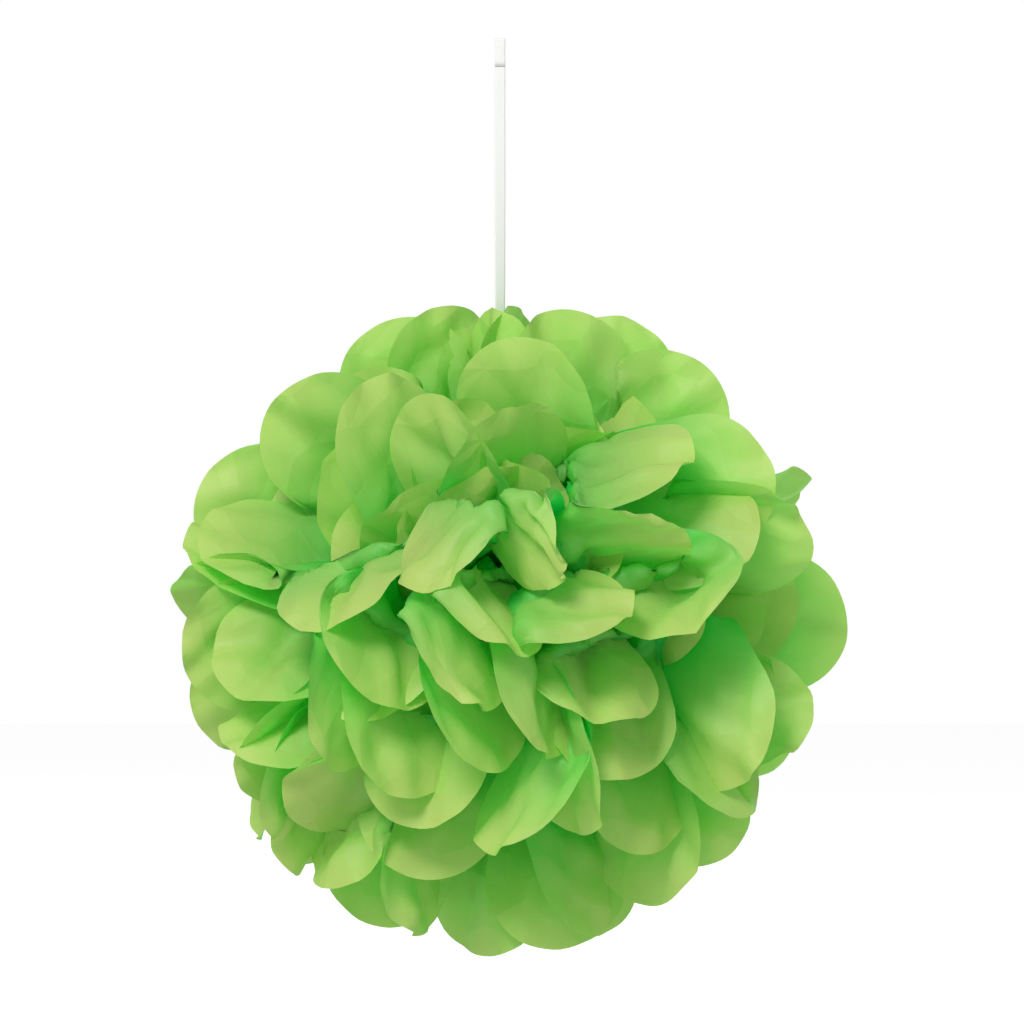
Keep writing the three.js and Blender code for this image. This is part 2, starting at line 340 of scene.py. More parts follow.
def disorder(most):
    return rng.uniform(-most, most)


def spread_petal(sheet, side, panel):
    """A petal in its own share of the ball, with the small disorder of fluffed paper."""
    pleat = 1 if (panel + sheet) % 2 else -1
    azimuth = math.radians((panel + 0.5) * 180 / PANELS - 90 + disorder(DIRECTION_DISORDER))
    tilt = math.radians(PLEAT_TILT * pleat + disorder(DIRECTION_DISORDER))
    elevation = sheet_elevation(sheet) + tilt
    direction = np.array([
        side * math.cos(elevation) * math.cos(azimuth),
        -math.sin(elevation),
        math.cos(elevation) * math.sin(azimuth),
    ])
    tip = BALL_CENTRE + BALL_RADII * direction * rng.uniform(*TIP_REACH)
    return {
        "tip": tip,
        "heading": unit((tip - CORE)[[0, 2]]),
        "pitch": PITCH_SHARE * elevation + math.radians(disorder(PITCH_DISORDER)),
        "roll": math.radians(pleat * PLEAT_ROLL + disorder(ROLL_DISORDER)),
        "cup": disorder(CUP_DISORDER),
        "curl": CURL * math.sin(elevation) + disorder(CURL_DISORDER),
        "length": PETAL_LENGTH,
        "hold": LOOSE_HOLD,
    }


def photo_petal(row):
    """A petal as the photograph shows it. A narrow look is a petal rolled about its length. One
    that the sheet can't reach from the waist is moved back until it can."""
    name, tip_pixel, base_pixel, span, nearer, sunk, *near_core = row
    guess = from_photo(tip_pixel, 0)
    depth = ball_depth(guess[0], guess[2])
    guess = from_photo(tip_pixel, depth)
    depth = ball_depth(guess[0], guess[2]) + sunk
    width = span * PHOTO_SCALE * (CAMERA_DISTANCE + depth) / CAMERA_DISTANCE
    outward = math.asin(min(1, abs(depth) / BALL_RADII[1]))
    narrow = min(1, width / PANEL_WIDTH * (1 if near_core else PARTLY_HIDDEN))
    lean, length = near_core or (math.degrees(LEAN_SHARE * outward * narrow), PETAL_LENGTH)
    across, up = tip_pixel[0] - base_pixel[0], base_pixel[1] - tip_pixel[1]
    petal = {
        "name": name,
        "tip": from_photo(tip_pixel, depth),
        "heading": unit(np.array([across, up], float)),
        "pitch": math.radians(lean),
        "length": length,
        "roll": nearer * ROLL_SHARE * math.acos(narrow),
        "cup": rng.uniform(*PHOTO_CUP),
        "curl": narrow**2 * (CURL_AT_RIM + CURL_IN_FRONT * math.sin(outward)),
        "hold": FIRM_HOLD,
    }
    reach = LONGEST_REACH * (HALF_LENGTH - length)
    while np.linalg.norm(end_shape(petal, 1)[0, COLUMNS // 2] - CORE) > reach:
        depth += DEPTH_STEP
        petal["tip"] = from_photo(tip_pixel, depth)
    return petal


def middle_of(target):
    """The middle of the petal's last stretch."""
    shape = end_shape(target, 1)
    return shape[len(shape) // 2, COLUMNS // 2]


def middle_azimuth(target, side):
    place = middle_of(target) - CORE
    return math.atan2(place[2], side * place[0])


def nearest_places(wanted, spread):
    """Which of the front sheets' places each photographed petal takes, and the places left over."""
    free = {key for key in spread if HALVES[key[0]][0] in FRONT_SHEETS}
    slots = {key: (middle_of(spread[key]), spread[key]["tip"]) for key in sorted(free)}
    pairs = []
    for index, petal in enumerate(wanted):
        middle = middle_of(petal)
        for key, (slot_middle, slot_tip) in slots.items():
            tips_apart = np.linalg.norm(slot_tip - petal["tip"])
            apart = np.linalg.norm(slot_middle - middle) + TIP_SHARE * tips_apart
            pairs.append((apart, index, key))
    placed = {}
    for _, index, key in sorted(pairs):
        if index not in placed and key in free:
            placed[index] = key
            free.discard(key)
    return placed, free


def place_petals():
    """Every petal's target: the photographed ones in order round each half-sheet, and those left
    over in the front sheets further in, where they don't cover the photographed ones."""
    spread = {
        (half, panel): spread_petal(*HALVES[half], panel)
        for half in range(len(HALVES)) for panel in range(PANELS)
    }
    wanted = [photo_petal(row) for row in PETALS]
    placed, left = nearest_places(wanted, spread)
    for half, (_, side) in enumerate(HALVES):
        here = [index for index, key in placed.items() if key[0] == half]
        panels = sorted(placed[index][1] for index in here)
        here.sort(key=lambda index: middle_azimuth(wanted[index], side))
        for index, panel in zip(here, panels):
            spread[half, panel] = wanted[index]
    for key in left:
        frontmost = HALVES[key[0]][0] in FRONTMOST_SHEETS
        inward = UNSEEN_REACH_FRONTMOST if frontmost else UNSEEN_REACH
        spread[key]["tip"] = CORE + (spread[key]["tip"] - CORE) * inward
    return spread


# The first shape of the paper: straight out of the waist, then into each petal's place

def petal_axes(target, side):
    """A petal's directions along its length, across its width and out of its face."""
    heading, pitch, roll = target["heading"], target["pitch"], target["roll"]
    axis = np.array([math.cos(pitch) * heading[0], -math.sin(pitch), math.cos(pitch) * heading[1]])
    face = np.array([-math.sin(pitch) * heading[0], -math.cos(pitch), -math.sin(pitch) * heading[1]])
    width = side * np.cross(face, axis)
    rolled_width = math.cos(roll) * width + math.sin(roll) * face
    rolled_face = math.cos(roll) * face - math.sin(roll) * width
    return axis, rolled_width, rolled_face


def end_shape(target, side):
    """The petal's last stretch, cupped across and curled along, as rows by columns of points."""
    axis, width, face = petal_axes(target, side)
    back = (HALF_LENGTH - ALONG[ALONG > HALF_LENGTH - target["length"]])[:, None, None]
    cup = target["cup"] / (PANEL_WIDTH / 2)
    sideways = np.sin(ACROSS * cup) / cup if abs(cup) > 1e-4 else ACROSS
    raised = (1 - np.cos(ACROSS * cup)) / cup if abs(cup) > 1e-4 else 0 * ACROSS
    bend = target["curl"] * back**2 / (2 * PETAL_LENGTH)
    straight = back * (1 - target["curl"] ** 2 * (back / PETAL_LENGTH) ** 2 / 6)
    return (
        target["tip"] - axis * straight - face * bend
        + width * sideways[None, :, None] + face * raised[None, :, None]
    )


def waist_points(sheet, side, across):
    """Where a panel's columns are gathered in the waist. across is 0 to 1 over the sheet."""
    return np.stack([
        np.full(COLUMNS, side * WAIST_HALF_LENGTH),
        np.full(COLUMNS, (sheet - (SHEET_COUNT - 1) / 2) * LAYER_PITCH),
        CORE[2] + (across - 0.5) * WAIST_HEIGHT,
    ], -1)


def fan_directions(sheet, side, across):
    """The way each column would go in an evenly opened fan."""
    azimuth, rise = math.pi * (across - 0.5), sheet_elevation(sheet)
    return np.stack([
        side * math.cos(rise) * np.cos(azimuth),
        np.full(COLUMNS, -math.sin(rise)),
        math.cos(rise) * np.sin(azimuth),
    ], -1)


def hidden_path(root, fan, end, target, rise):
    """The paper from the waist to a petal's end: a smooth curve for each column, bulged forward or
    back to take up the paper's length."""
    first, inner = end[0], ROWS - len(end)
    t = ((ALONG[:inner] - ALONG[0]) / (ALONG[inner] - ALONG[0]))[:, None, None]
    chord = np.linalg.norm(first - root, axis=-1, keepdims=True)
    leaving = unit(fan + STRAIGHTER * unit(first - root))
    arriving = unit(end[1] - first)
    arrival = ARRIVING * (target["length"] / PETAL_LENGTH) ** 3
    path = (
        (2 * t**3 - 3 * t**2 + 1) * root + (t**3 - 2 * t**2 + t) * chord * leaving
        + (3 * t**2 - 2 * t**3) * first + (t**3 - t**2) * arrival * chord * arriving
    )
    steps = np.diff(np.concatenate([path, first[None]], 0), axis=0)
    short = max(ALONG[inner] - ALONG[0] - np.linalg.norm(steps, axis=-1).sum(0).mean(), 0)
    height = math.sqrt(4 * chord.mean() * short) / math.pi
    middle = leaving.mean(0)
    bulge = unit(np.cross(np.cross(middle, np.array([0, -1.0, 0])), middle))
    share = math.copysign(BULGE_PHOTO if "name" in target else BULGE_LOOSE, rise)
    return path + share * height * np.sin(math.pi * t) * bulge


def first_shape(targets):
    """Points of every panel, as half-sheets by panels by rows by columns."""
    points = np.zeros((len(HALVES), PANELS, ROWS, COLUMNS, 3))
    for half, (sheet, side) in enumerate(HALVES):
        for panel in range(PANELS):
            target = targets[half, panel]
            end = end_shape(target, side)
            inner = ROWS - len(end)
            across = (panel + 0.5 + ACROSS / PANEL_WIDTH) / PANELS
            root, fan = waist_points(sheet, side, across), fan_directions(sheet, side, across)
            points[half, panel, :inner] = hidden_path(root, fan, end, target, sheet_elevation(sheet))
            points[half, panel, inner:] = end
    return points


# Relaxation: the paper is drawn to its flat lengths, its panels stay joined along their folds,
# petals stay near their places, and layers push each other apart

def pull_together(a, b, rest, stiffness):
    """Moves two sets of points towards being rest apart, pair by pair."""
    gap = b - a
    length = np.sqrt((gap * gap).sum(-1, keepdims=True))
    gap *= stiffness * 0.5 * (1 - rest / np.maximum(length, 1e-6))
    a += gap
    b -= gap


def keep_lengths(points, along, across, slant):
    for start in (0, 1):
        rows = slice(start, ROWS - 1, 2), slice(start + 1, ROWS, 2)
        pull_together(points[:, :, rows[0]], points[:, :, rows[1]], along, 1.0)
    for start in (0, 1):
        first, second = slice(start, COLUMNS - 1, 2), slice(start + 1, COLUMNS, 2)
        pull_together(points[:, :, :, first], points[:, :, :, second], across, 1.0)
    pull_together(points[:, :, :-1, :-1], points[:, :, 1:, 1:], slant, SLANT_STIFFNESS)
    pull_together(points[:, :, :-1, 1:], points[:, :, 1:, :-1], slant, SLANT_STIFFNESS)


def smooth(points, stiffness):
    middle = 0.5 * (points[:, :, :-2] + points[:, :, 2:]) - points[:, :, 1:-1]
    points[:, :, 1:-1] += stiffness * middle
    middle = 0.5 * (points[..., :-2, :] + points[..., 2:, :]) - points[..., 1:-1, :]
    points[..., 1:-1, :] += stiffness * middle


def joined_length(points):
    """How far out each fold still joins its two panels: to its notch, or less far between petals
    that have been pulled well apart."""
    notch_row = int(np.searchsorted(ALONG, NOTCH))
    gap = np.linalg.norm(points[:, :-1, notch_row, -1] - points[:, 1:, notch_row, 0], axis=-1)
    return np.clip(NOTCH - SLIT_PER_GAP * (gap - CLOSE_PETALS), DEEPEST_SLIT, NOTCH)


def join_folds(points, joined):
    """joined is 1 on the rows of each fold where its two panels are one, and 0 further out."""
    half_gap = 0.5 * joined * (points[:, 1:, :, 0] - points[:, :-1, :, -1])
    points[:, :-1, :, -1] += half_gap
    points[:, 1:, :, 0] -= half_gap


def layer_gap(points):
    """How far apart layers are pushed: less near the waist, more at the ball's surface."""
    distance = np.linalg.norm(points - CORE, axis=-1)
    return np.clip(GAP_GROWTH * distance**2, NARROWEST_GAP, WIDEST_GAP)


def close_pairs(points, labels, flat):
    """Pairs of points of different half-sheets, or far apart on one, that lie within the widest
    gap. labels are the half-sheets, and flat the places on the flat paper."""
    cell = np.floor(points / WIDEST_GAP).astype(np.int64)
    cell -= cell.min(0) - 1
    size = cell.max(0) + 2
    key = (cell[:, 0] * size[1] + cell[:, 1]) * size[2] + cell[:, 2]
    order = np.argsort(key, kind="stable")
    ordered = key[order]
    found = []
    steps = [(i, j, k) for i in (-1, 0, 1) for j in (-1, 0, 1) for k in (-1, 0, 1)]
    for step in steps[len(steps) // 2:]:
        shift = (step[0] * size[1] + step[1]) * size[2] + step[2]
        start = np.searchsorted(ordered, key + shift, "left")
        stop = np.searchsorted(ordered, key + shift, "right")
        count = stop - start
        first = np.repeat(np.arange(len(points)), count)
        ramp = np.arange(count.sum()) - np.repeat(np.cumsum(count) - count, count)
        second = order[np.repeat(start, count) + ramp]
        if step == (0, 0, 0):
            keep = first < second
            first, second = first[keep], second[keep]
        near = ((points[first] - points[second]) ** 2).sum(-1) < WIDEST_GAP**2
        first, second = first[near], second[near]
        along_paper = np.abs(flat[first] - flat[second]).sum(-1)
        apart = (labels[first] != labels[second]) | (along_paper > SAME_LAYER)
        found.append((first[apart], second[apart]))
    return np.concatenate([f for f, _ in found]), np.concatenate([s for _, s in found])


def push_apart(points, pairs, stiffness):
    first, second = pairs
    gap = points[second] - points[first]
    length = np.maximum(np.linalg.norm(gap, axis=-1), 1e-3)
    wanted = 0.5 * (layer_gap(points[first]) + layer_gap(points[second]))
    push = np.maximum(wanted - length, 0) * stiffness * 0.5 / length
    count = np.bincount(first, minlength=len(points)) + np.bincount(second, minlength=len(points))
    share = 1 / np.sqrt(np.maximum(count, 1))
    for axis in range(3):
        move = gap[:, axis] * push
        total = np.bincount(second, move, len(points)) - np.bincount(first, move, len(points))
        points[:, axis] += total * share


def stay_in_ball(points):
    scaled = (points - BALL_CENTRE) / BALL_RADII
    size = np.linalg.norm(scaled, axis=-1, keepdims=True)
    outside = np.maximum(1 - 1 / np.maximum(size, 1e-6), 0)
    points -= BALL_PUSH * (scaled * outside) * BALL_RADII


def hold_shares(targets):
    """How firmly each row of each panel is held in its first place."""
    hold = np.zeros((len(HALVES), PANELS, ROWS, 1, 1))
    for (half, panel), target in targets.items():
        hold[half, panel, ALONG > HALF_LENGTH - target["length"]] = target["hold"]
    return hold


def flat_places():
    """Each point's place on the flat paper: from the waist, and across the sheet."""
    flat = np.zeros((len(HALVES), PANELS, ROWS, COLUMNS, 2))
    flat[..., 0] = ALONG[None, None, :, None]
    panel_start = np.arange(PANELS)[None, :, None, None] * PANEL_WIDTH
    flat[..., 1] = panel_start + ACROSS[None, None, None, :]
    return flat


def relax(points, targets, joined_to):
    gathered = np.clip(GATHERED_SHARE + (ALONG - ALONG[0]) / GATHER_LENGTH, 0, 1)
    along = ALONG[1] - ALONG[0]
    across = (PANEL_WIDTH / (COLUMNS - 1) * gathered)[None, None, :, None, None]
    slant = np.sqrt(along**2 + ((across[:, :, 1:] + across[:, :, :-1]) / 2) ** 2)
    joined = (ALONG <= joined_to[..., None] + 1)[..., None].astype(float)
    hold = hold_shares(targets)
    home = points.copy()
    labels = np.zeros(points.shape[:-1], int) + np.arange(len(HALVES))[:, None, None, None]
    loose = np.zeros(points.shape[:-1], bool)
    loose[:, :, ALONG > PUSHED_FROM] = True
    loose = loose.ravel()
    loose_labels, loose_flat = labels.ravel()[loose], flat_places().reshape(-1, 2)[loose]
    for turn in range(ROUNDS):
        share = turn / ROUNDS
        points += hold * (1 - HOLD_LOSS * share) * (home - points)
        outer = points.reshape(-1, 3)[loose]
        if turn % PAIR_ROUNDS == 0:
            pairs = close_pairs(outer, loose_labels, loose_flat)
        push_apart(outer, pairs, PUSH)
        points.reshape(-1, 3)[loose] = outer
        smooth(points, SMOOTH_FIRST * (1 - share) + SMOOTH_LAST)
        for _ in range(LENGTH_PASSES):
            keep_lengths(points, along, across, slant)
            join_folds(points, joined)
        stay_in_ball(points)
        points[:, :, 0] = home[:, :, 0]
    return points


# The finished mesh: a smooth surface through each panel's points, cut to its round end

def spline_weights(positions, count):
    """Rows of weights that turn evenly spaced values into the smooth curve's values there."""
    weights = np.zeros((len(positions), count + 2))
    low = np.clip(np.floor(positions).astype(int), 0, count - 2)
    f = positions - low
    shares = (
        -0.5 * f + f**2 - 0.5 * f**3,
        1 - 2.5 * f**2 + 1.5 * f**3,
        0.5 * f + 2 * f**2 - 1.5 * f**3,
        -0.5 * f**2 + 0.5 * f**3,
    )
    for step, share in enumerate(shares):
        weights[np.arange(len(positions)), low + step] += share
    inside = weights[:, 1:-1]
    inside[:, 0] += 2 * weights[:, 0]
    inside[:, 1] -= weights[:, 0]
    inside[:, -1] += 2 * weights[:, -1]
    inside[:, -2] -= weights[:, -1]
    return inside


def refine(points):
    """The fine points of every panel, whose rows end on the round cut."""
    column_weights = spline_weights((FINE_ACROSS + 1) / 2 * (COLUMNS - 1), COLUMNS)
    wide = np.einsum("jc,hprck->hprjk", column_weights, points)
    fine = np.zeros(points.shape[:2] + (FINE_ROWS, FINE_COLUMNS, 3))
    for column in range(FINE_COLUMNS):
        places = (FINE_ALONG[:, column] - ALONG[0]) / (ALONG[1] - ALONG[0])
        row_weights = spline_weights(places, ROWS)
        fine[:, :, :, column] = np.einsum("ir,hprk->hpik", row_weights, wide[:, :, :, column])
    return fine


def crease(fine):
    """Presses a few straight creases into each panel, raised or sunk, none along its folds."""
    down = np.gradient(fine, axis=2)
    sideways = np.gradient(fine, axis=3)
    normal = unit(np.cross(down, sideways))
    shape = fine.shape[:2] + (CREASES,)
    place_across = rng.uniform(-CREASE_ACROSS, CREASE_ACROSS, shape) * END_RADIUS
    place_along = rng.uniform(*CREASE_ALONG, shape) * HALF_LENGTH
    angle = rng.normal(0, CREASE_ANGLE, shape)
    height = rng.choice((-1, 1), shape) * rng.uniform(*CREASE_HEIGHT, shape)
    across = (FINE_ACROSS * END_RADIUS)[None, None, None, :]
    along = FINE_ALONG[None, None]
    raised = np.zeros(fine.shape[:-1])
    for index in range(CREASES):
        at_across, at_along, turned, high = [
            value[..., index][:, :, None, None]
            for value in (place_across, place_along, angle, height)
        ]
        off = (across - at_across) * np.cos(turned) - (along - at_along) * np.sin(turned)
        raised += high * np.maximum(1 - np.abs(off) / CREASE_HALF_WIDTH, 0)
    window = (1 - FINE_ACROSS**2) * smoothstep(FINE_ALONG, *CREASED_FROM)
    return fine + normal * (raised * window)[..., None]


def sheet_faces(at):
    """Faces of both halves and of the strip between them in the waist, from the vertex numbers."""
    quads = np.stack([at[..., :-1, :-1], at[..., :-1, 1:], at[..., 1:, 1:], at[..., 1:, :-1]], -1)
    left, right = quads[0].reshape(-1, 4), quads[1].reshape(-1, 4)
    first = at[:, :, 0]
    waist = np.stack([first[0, :, :-1], first[0, :, 1:], first[1, :, 1:], first[1, :, :-1]], -1)
    return np.concatenate([left[:, ::-1], right, waist.reshape(-1, 4)])


def add_flat_uv(mesh, flat):
    """The place on the flat paper, in metres, as the mesh's UV."""
    layer = mesh.uv_layers.new(name="flat_paper")
    corner = np.zeros(len(mesh.loops), np.int32)
    mesh.loops.foreach_get("vertex_index", corner)
    layer.data.foreach_set("uv", flat[corner].astype(np.float32).ravel())


def sharpen_folds(mesh, flat, on_fold):
    ends = np.zeros(2 * len(mesh.edges), np.int32)
    mesh.edges.foreach_get("vertices", ends)
    ends = ends.reshape(-1, 2)
    straight = np.abs(flat[ends[:, 0], 0] - flat[ends[:, 1], 0]) < 1e-6
    sharp = mesh.attributes.new("sharp_edge", "BOOLEAN", "EDGE")
    sharp.data.foreach_set("value", on_fold[ends].all(1) & straight)


def sheet_mesh(sheet, fine, joined_to):
    """One mesh for both halves of a sheet, joined through the waist and along its folds."""
    halves = [2 * sheet, 2 * sheet + 1]
    points = fine[halves].copy()
    shape = points.shape[:-1]
    flat = np.zeros(shape + (2,))
    flat[..., 0] = (np.arange(PANELS)[:, None, None] + 0.5) * PANEL_WIDTH + FINE_ACROSS * END_RADIUS
    flat[..., 1] = SIDES[halves][:, None, None, None] * FINE_ALONG
    at = np.arange(points[..., 0].size).reshape(shape)
    joined = FINE_ALONG[:, 0] <= joined_to[halves][..., None]
    fold = 0.5 * (points[:, 1:, :, 0] + points[:, :-1, :, -1])
    points[:, :-1, :, -1][joined] = fold[joined]
    at[:, 1:, :, 0][joined] = at[:, :-1, :, -1][joined]
    used, faces = np.unique(sheet_faces(at), return_inverse=True)
    faces = faces.reshape(-1, 4)
    points, flat = points.reshape(-1, 3)[used] * MM, flat.reshape(-1, 2)[used] * MM
    column = used % FINE_COLUMNS
    name = f"tissue_sheet_{sheet + 1:02d}"
    mesh = bpy.data.meshes.new(name)
    mesh.from_pydata(points.tolist(), [], faces.tolist())
    mesh.shade_smooth()
    add_flat_uv(mesh, flat)
    sharpen_folds(mesh, flat, (column == 0) | (column == FINE_COLUMNS - 1))
    piece = bpy.data.objects.new(name, mesh)
    bpy.context.scene.collection.objects.link(piece)
    return piece


# Materials

def new_material(name):
    material = bpy.data.materials.new(name)
    material.use_nodes = True
    material.node_tree.nodes.clear()
    return material, material.node_tree.nodes, material.node_tree.links


def node(nodes, kind, **settings):
    made = nodes.new(kind)
    for key, value in settings.items():
        if key in made.inputs:
            made.inputs[key].default_value = value
        else:
            setattr(made, key, value)
    return made


def show(nodes, links, shader, kind="ShaderNodeOutputMaterial"):
    output = node(nodes, kind)
    links.new(shader.outputs[0], output.inputs["Surface"])


def add_bump(nodes, links, height, strength, distance, below=None):
    bump = node(nodes, "ShaderNodeBump", Strength=strength, Distance=distance)
    links.new(height, bump.inputs["Height"])
    if below:
        links.new(below, bump.inputs["Normal"])
    return bump.outputs[0]


def paper_normal(nodes, links, flat):
    """Long creases between flat patches, a slow waviness and a fine grain."""
    waves = node(nodes, "ShaderNodeTexNoise", noise_dimensions="2D", Scale=14, Detail=1)
    creases = node(
        nodes, "ShaderNodeTexVoronoi", voronoi_dimensions="2D", feature="DISTANCE_TO_EDGE", Scale=30,
    )
    grain = node(nodes, "ShaderNodeTexNoise", noise_dimensions="2D", Scale=300, Detail=2)
    normal = None
    for texture, output, strength, distance in (
        (creases, "Distance", 0.7, 0.004),
        (waves, "Fac", 0.3, 0.004),
        (grain, "Fac", 0.2, 0.0003),
    ):
        links.new(flat.outputs[0], texture.inputs["Vector"])
        normal = add_bump(nodes, links, texture.outputs[output], strength, distance, normal)
    return normal


# Painted shade: the colour is darker and more saturated towards the waist, and fades to the pale one
# along the paper
def paint_shade_by_length(nodes, links, shader, from_waist, painted_shade, loose):
    ramp = node(nodes, "ShaderNodeValToRGB")
    ramp.color_ramp.interpolation = "EASE"
    stops = (PAINTED_SHADE_END, painted_shade), (PAINTED_SHADE_FADED_AT, loose)
    for element, (position, colour) in zip(ramp.color_ramp.elements, stops):
        element.position = position
        element.color = colour
    links.new(from_waist.outputs[0], ramp.inputs[0])
    links.new(ramp.outputs["Color"], shader.inputs[0])


def tissue_material():
    """Thin paper that lights up from behind, with painted shade: darker and stronger in colour towards
    the crowded waist.
    """
    material, nodes, links = new_material("green_tissue")
    flat = node(nodes, "ShaderNodeUVMap", uv_map="flat_paper")
    place = node(nodes, "ShaderNodeSeparateXYZ")
    links.new(flat.outputs[0], place.inputs[0])
    from_waist = node(nodes, "ShaderNodeMath", operation="ABSOLUTE")
    links.new(place.outputs["Y"], from_waist.inputs[0])
    front = node(nodes, "ShaderNodeBsdfPrincipled", Roughness=0.5)
    through = node(nodes, "ShaderNodeBsdfTranslucent")
    # Both colours are painted darker towards the waist, as shade
    paint_shade_by_length(nodes, links, front, from_waist, TISSUE_FRONT_PAINTED_SHADE, TISSUE_FRONT)
    paint_shade_by_length(nodes, links, through, from_waist, TISSUE_THROUGH_PAINTED_SHADE, TISSUE_THROUGH)
    normal = paper_normal(nodes, links, flat)
    links.new(normal, front.inputs["Normal"])
    links.new(normal, through.inputs["Normal"])
    mix = node(nodes, "ShaderNodeMixShader", Fac=THROUGH_SHARE)
    links.new(front.outputs[0], mix.inputs[1])
    links.new(through.outputs[0], mix.inputs[2])
    show(nodes, links, mix)
    return material


def satin_material():
    material, nodes, links = new_material("white_satin")
    shader = node(nodes, "ShaderNodeBsdfPrincipled", Roughness=0.45)
    shader.inputs["Base Color"].default_value = SATIN_WHITE
    threads = node(nodes, "ShaderNodeTexWave", Scale=600, Distortion=1.5)
    threads.bands_direction = "Z"
    place = node(nodes, "ShaderNodeTexCoord")
    links.new(place.outputs["Object"], threads.inputs["Vector"])
    normal = add_bump(nodes, links, threads.outputs["Fac"], strength=0.2, distance=0.0001)
    links.new(normal, shader.inputs["Normal"])
    show(nodes, links, shader)
    return material


def wire_material():
    material, nodes, links = new_material("steel_wire")
    shader = node(nodes, "ShaderNodeBsdfPrincipled", Roughness=0.35, Metallic=1.0)
    shader.inputs["Base Color"].default_value = STEEL
    show(nodes, links, shader)
    return material


# Ribbon: a flat strip along a route, turned more and more on its way down

def ribbon_route():
    """Centre points from the knot up to the tab, over it and down in front."""
    hanging = [
        (0, DRIFT * smoothstep(z, DRIFT_FROM, -TAB_HALF), z)
        for z in np.linspace(KNOT_Z, -TAB_HALF, HANGING_POINTS)
    ]
    back_start, straight_top = -TAB_HALF + TAB_BACK_START, TAB_HALF - FOLD_ROOM
    tab_back = [(0, TAB_BACK_Y, z) for z in np.linspace(back_start, straight_top, TAB_BACK_POINTS)]
    fold_start = TAB_HALF - RIBBON_THICKNESS / 2 - FOLD_HEIGHT
    over = [
        (0, FOLD_Y + FOLD_RADIUS * math.cos(angle), fold_start + FOLD_HEIGHT * math.sin(angle))
        for angle in np.linspace(0, math.pi, FOLD_POINTS)
    ]
    tab_front = [(0, TAB_FRONT_Y, z) for z in np.linspace(straight_top, -TAB_HALF, TAB_FRONT_POINTS)]
    return np.array(hanging + tab_back + over + tab_front)


def hanging_side(route):
    """Across the ribbon at each point of its route: it turns on its way down to the knot."""
    hanging = np.arange(len(route)) < HANGING_POINTS
    turn = np.where(hanging, RIBBON_TURN * (1 - smoothstep(route[:, 2], KNOT_Z, UNTURNED_FROM)), 0)
    return np.stack([np.cos(turn), np.sin(turn), np.zeros(len(route))], -1)


def waist_turn():
    """One turn of ribbon round the waist: a rectangle with round corners."""
    points = [(0, TURN_HALF_HEIGHT)]
    for corner, (y_side, z_side) in enumerate(((1, 1), (1, -1), (-1, -1), (-1, 1))):
        for angle in np.linspace(math.pi / 2, 0, CORNER_POINTS) - corner * math.pi / 2:
            points.append((
                y_side * (TURN_HALF_DEPTH - TURN_CORNER) + TURN_CORNER * math.cos(angle),
                z_side * (TURN_HALF_HEIGHT - TURN_CORNER) + TURN_CORNER * math.sin(angle),
            ))
    points.append((0, TURN_HALF_HEIGHT))
    return CORE + np.array([(0, y, z) for y, z in points])


def knot_turn():
    """The knot: a tight turn round the hanging run, its end laid over its start."""
    angle = np.linspace(0, KNOT_ANGLE, KNOT_POINTS)
    grown = 1 + KNOT_GROWTH * angle
    return np.array([0, 0, KNOT_Z]) + np.stack([
        KNOT_HALF_WIDTH * grown * np.cos(angle),
        KNOT_HALF_DEPTH * grown * np.sin(angle),
        KNOT_SLANT * np.sin(angle),
    ], -1)


def strip_shape(route, side):
    """Points and faces of a thin strip along a route. side is its direction across."""
    tangent = unit(np.gradient(route, axis=0))
    side = unit(side - (side * tangent).sum(-1, keepdims=True) * tangent)
    face = np.cross(tangent, side)
    half_width, half_thickness = RIBBON_WIDTH / 2, RIBBON_THICKNESS / 2
    columns = np.linspace(-1, 1, STRIP_COLUMNS)
    section = [(x, 1) for x in columns] + [(x, -1) for x in columns[::-1]]
    rings = np.stack([
        route + side * half_width * x
        + face * half_thickness * y * (EDGE_THICKNESS_SHARE if abs(x) == 1 else 1)
        for x, y in section
    ], 1)
    at = np.arange(rings[..., 0].size).reshape(rings.shape[:2])
    next_at = np.roll(at, -1, 1)
    quads = np.stack([at[:-1], next_at[:-1], next_at[1:], at[1:]], -1).reshape(-1, 4)
    ends = [at[0].tolist()[::-1], at[-1].tolist()]
    return rings.reshape(-1, 3), quads.tolist() + ends


def ribbon_object(name, strips, material):
    points, faces = [], []
    for route, side in strips:
        strip_points, strip_faces = strip_shape(route, side)
        faces += [[index + len(points) for index in face] for face in strip_faces]
        points += (strip_points * MM).tolist()
    mesh = bpy.data.meshes.new(name)
    mesh.from_pydata(points, [], faces)
    mesh.shade_smooth()
    piece = bpy.data.objects.new(name, mesh)
    bpy.context.scene.collection.objects.link(piece)
    piece.data.materials.append(material)
    return piece


def ribbon_knot(material):
    turn, knot = waist_turn(), knot_turn()
    across_waist = np.tile([1.0, 0, 0], (len(turn), 1))
    up = np.tile([0, 0, 1.0], (len(knot), 1))
    return ribbon_object("ribbon_knot", [(turn, across_waist), (knot, up)], material)


# Camera, light and floor

def make_camera():
    bpy.context.scene.view_settings.view_transform = "Standard"
    camera = bpy.data.objects.new("camera", bpy.data.cameras.new("camera"))
    camera.data.sensor_width = 36
    camera.data.lens = camera.data.sensor_width * CAMERA_DISTANCE / (PHOTO_SIDE * PHOTO_SCALE)
    camera.location = Vector((VIEW_X, -CAMERA_DISTANCE, VIEW_Z)) * MM
    camera.rotation_euler = (math.pi / 2, 0, 0)
    camera.data.clip_end = 100
    bpy.context.scene.collection.objects.link(camera)
    bpy.context.scene.camera = camera


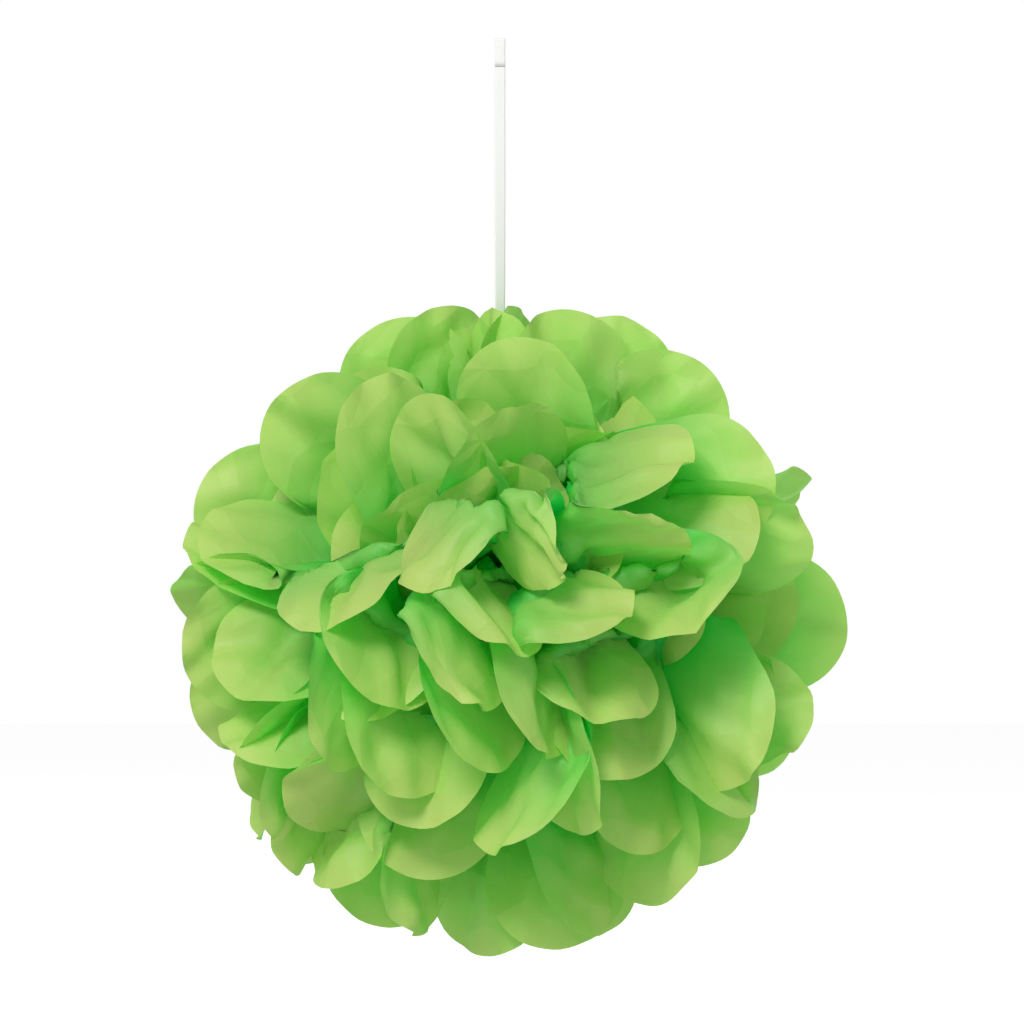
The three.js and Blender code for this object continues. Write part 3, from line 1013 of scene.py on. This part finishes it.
def seen_directly(nodes, links):
    """1 for the rays that see the backdrop, straight or in metal or glass, and 0 for those that
    light the object with it, which include the ones that go through paper."""
    rays = node(nodes, "ShaderNodeLightPath")
    seen = rays.outputs["Is Camera Ray"]
    for kind in ("Is Glossy Ray", "Is Transmission Ray"):
        either = node(nodes, "ShaderNodeMath", operation="MAXIMUM")
        links.new(seen, either.inputs[0])
        links.new(rays.outputs[kind], either.inputs[1])
        seen = either.outputs[0]
    direct = node(nodes, "ShaderNodeMath", operation="SUBTRACT", use_clamp=True)
    links.new(seen, direct.inputs[0])
    links.new(rays.outputs["Is Diffuse Ray"], direct.inputs[1])
    return direct.outputs[0]


def mix_backdrop(nodes, links, lighting, seen):
    """One shader for the rays that light the object, the other for those that see the backdrop."""
    mix = node(nodes, "ShaderNodeMixShader")
    links.new(seen_directly(nodes, links), mix.inputs[0])
    links.new(lighting.outputs[0], mix.inputs[1])
    links.new(seen.outputs[0], mix.inputs[2])
    return mix


def make_world():
    world = bpy.data.worlds.new("studio")
    bpy.context.scene.world = world
    world.use_nodes = True
    nodes, links = world.node_tree.nodes, world.node_tree.links
    nodes.clear()
    soft = node(nodes, "ShaderNodeBackground", Color=WHITE, Strength=SOFT_LIGHT)
    white = node(nodes, "ShaderNodeBackground", Color=WHITE, Strength=1.0)
    show(nodes, links, mix_backdrop(nodes, links, soft, white), "ShaderNodeOutputWorld")


def make_lamp(name, place, size, power):
    lamp = bpy.data.objects.new(name, bpy.data.lights.new(name, "AREA"))
    lamp.data.size = size
    lamp.data.energy = power
    lamp.location = place
    target = Vector(BALL_CENTRE) * MM
    lamp.rotation_euler = (target - lamp.location).to_track_quat("-Z", "Y").to_euler()
    bpy.context.scene.collection.objects.link(lamp)


def make_floor():
    """Lit like plain grey, with a glow added for the rays that see it, so that it looks white."""
    mesh = bpy.data.meshes.new("floor")
    corners = [(-1, -1), (1, -1), (1, 1), (-1, 1)]
    mesh.from_pydata([(x * FLOOR_HALF, y * FLOOR_HALF, FLOOR_Z) for x, y in corners], [], [(0, 1, 2, 3)])
    floor = bpy.data.objects.new("floor", mesh)
    bpy.context.scene.collection.objects.link(floor)
    material, nodes, links = new_material("pale_floor")
    grey = node(nodes, "ShaderNodeBsdfDiffuse", Color=FLOOR_GREY)
    glow = node(nodes, "ShaderNodeEmission", Color=WHITE, Strength=FLOOR_GLOW)
    lit = node(nodes, "ShaderNodeAddShader")
    links.new(grey.outputs[0], lit.inputs[0])
    links.new(glow.outputs[0], lit.inputs[1])
    show(nodes, links, mix_backdrop(nodes, links, grey, lit))
    floor.data.materials.append(material)


# Assembly

def settled_paper():
    """Every point of the paper, and how far out each fold joins its panels."""
    targets = place_petals()
    points = first_shape(targets)
    joined_to = joined_length(points)
    return relax(points, targets, joined_to), joined_to


def make_sheets(material):
    paper, joined_to = settled_paper()
    fine = crease(refine(paper))
    for sheet in range(SHEET_COUNT):
        piece = sheet_mesh(sheet, fine, joined_to)
        piece.data.materials.append(material)
        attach(piece, "root")
        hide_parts(f"sheet_{sheet + 1:02d}")


def make_ribbon(material):
    route = ribbon_route()
    strip = ribbon_object("ribbon_strip", [(route, hanging_side(route))], material)
    knot = ribbon_knot(material)
    for piece in (strip, knot):
        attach(piece, "root")
        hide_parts("ribbon")


def dress_tie(material):
    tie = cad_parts["wire_tie"]
    tie.data.materials.clear()
    tie.data.materials.append(material)


def main():
    make_camera()
    make_ribbon(satin_material())
    dress_tie(wire_material())
    make_sheets(tissue_material())
    make_world()
    for lamp in LAMPS:
        make_lamp(*lamp)
    make_floor()


main()
